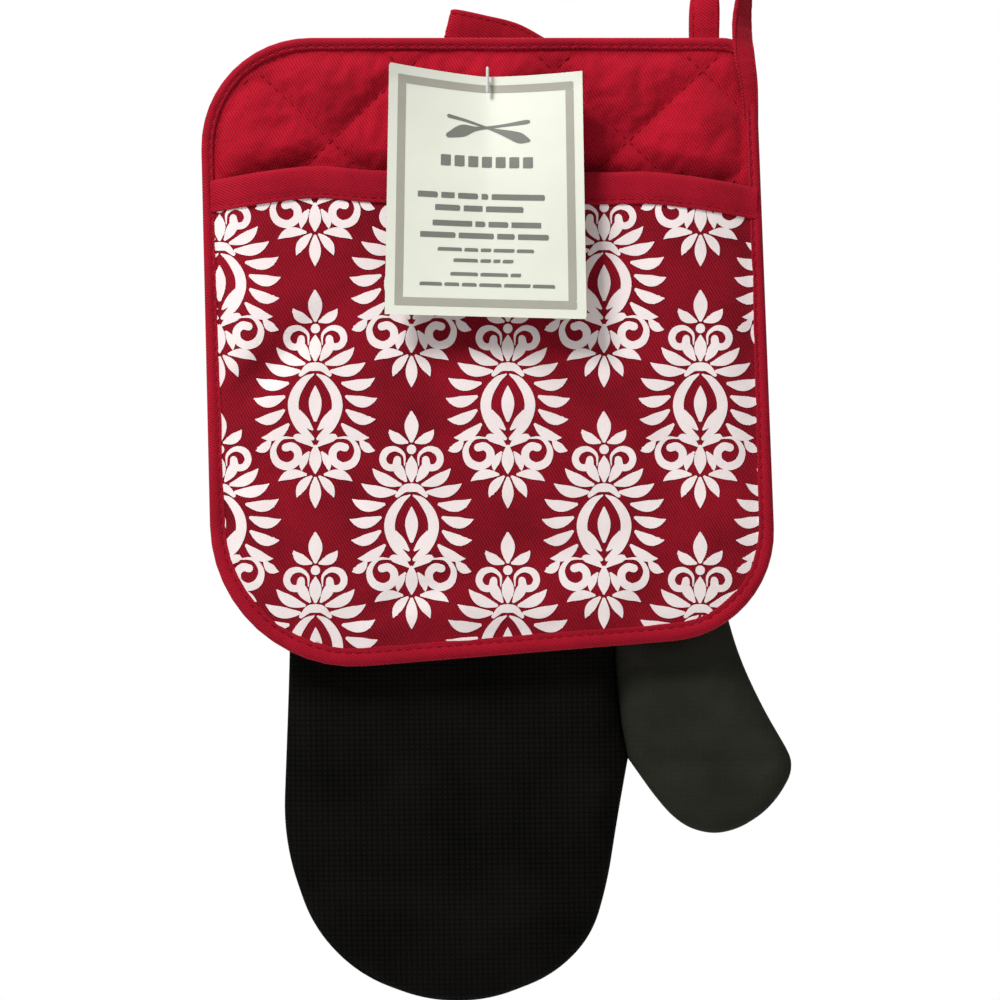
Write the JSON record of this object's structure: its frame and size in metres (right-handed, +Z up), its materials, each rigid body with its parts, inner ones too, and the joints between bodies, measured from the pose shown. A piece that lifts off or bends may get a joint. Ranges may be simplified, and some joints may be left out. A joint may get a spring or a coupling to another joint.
{
  "type": "oven mitt",
  "caption": "Flat oven mitt with a neoprene palm and printed padded back, hung behind its matching quilted pot holder with a hand pocket, tape loops and a swing tag.",
  "frame": {"origin": "inside top of the pot holder's hanging loop, where a hook bears", "axes": "+X to the right as seen from the front, +Z up as it hangs, the printed pocket and the tag face -Y, the mitt is behind"},
  "size_m": [0.2045, 0.0418, 0.3738],
  "materials": {
    "red_twill": "cotton twill, dyed red",
    "printed_twill": "red cotton twill with a white printed pattern",
    "print_ink": "white pigment print",
    "red_binding": "folded cotton bias binding, topstitched",
    "red_tape": "folded cotton tape",
    "thread": "polyester sewing thread",
    "neoprene": "knit-faced neoprene foam cloth, black, finely embossed",
    "batting": "needled cotton batting",
    "lining": "plain cotton lining",
    "card": "coated card",
    "card_ink": "printed grey marks",
    "clear_plastic": "nylon tag pin"
  },
  "bodies": {
    "hanging_loop": {"hanging_loop": "red_tape"},
    "pot_holder": {"potholder_front_panel": "red_twill", "potholder_batting": "batting", "potholder_back_panel": "neoprene", "edge_binding": "red_binding", "pocket_lining": "lining", "pocket_panel": "printed_twill", "pocket_binding": "red_binding", "tag_pin": "clear_plastic"},
    "swing_tag": {"hang_tag": "card"},
    "mitt_hand": {"palm_panel_hand": "neoprene", "back_cover_hand": "printed_twill", "back_batting_hand": "batting", "lining_hand": "lining", "cuff_binding": "red_binding"},
    "mitt_fingers": {"palm_panel_fingers": "neoprene", "back_cover_fingers": "printed_twill", "back_batting_fingers": "batting", "lining_fingers": "lining"},
    "mitt_thumb": {"palm_panel_thumb": "neoprene", "back_cover_thumb": "printed_twill", "back_batting_thumb": "batting", "lining_thumb": "lining"},
    "mitt_loop": {"mitt_loop": "red_tape"}
  },
  "joints": [
    {"name": "potholder_swing", "type": "hinge", "parent": "hanging_loop", "child": "pot_holder", "pos_m": [0, 0, -0.0363], "axis": [1, 0, 0], "range_deg": [-60, 60]},
    {"name": "tag_swing", "type": "hinge", "parent": "pot_holder", "child": "swing_tag", "pos_m": [-0.0828, -0.007, -0.0527], "axis": [0, 1, 0], "range_deg": [-60, 90]},
    {"name": "mitt_swing", "type": "hinge", "parent": "pot_holder", "child": "mitt_hand", "pos_m": [-0.0828, 0.0058, -0.0527], "axis": [0, 1, 0], "range_deg": [-20, 20]},
    {"name": "finger_fold", "type": "hinge", "parent": "mitt_hand", "child": "mitt_fingers", "pos_m": [-0.09, 0.0056, -0.266], "axis": [-1, 0, 0], "range_deg": [0, 60]},
    {"name": "thumb_fold", "type": "hinge", "parent": "mitt_hand", "child": "mitt_thumb", "pos_m": [-0.0136, 0.0056, -0.2531], "axis": [-0.9416, 0, -0.3366], "range_deg": [0, 50]},
    {"name": "mitt_loop_flop", "type": "hinge", "parent": "mitt_hand", "child": "mitt_loop", "pos_m": [-0.0805, 0.0184, -0.0394], "axis": [1, 0, 0], "range_deg": [-35, 35]}
  ]
}
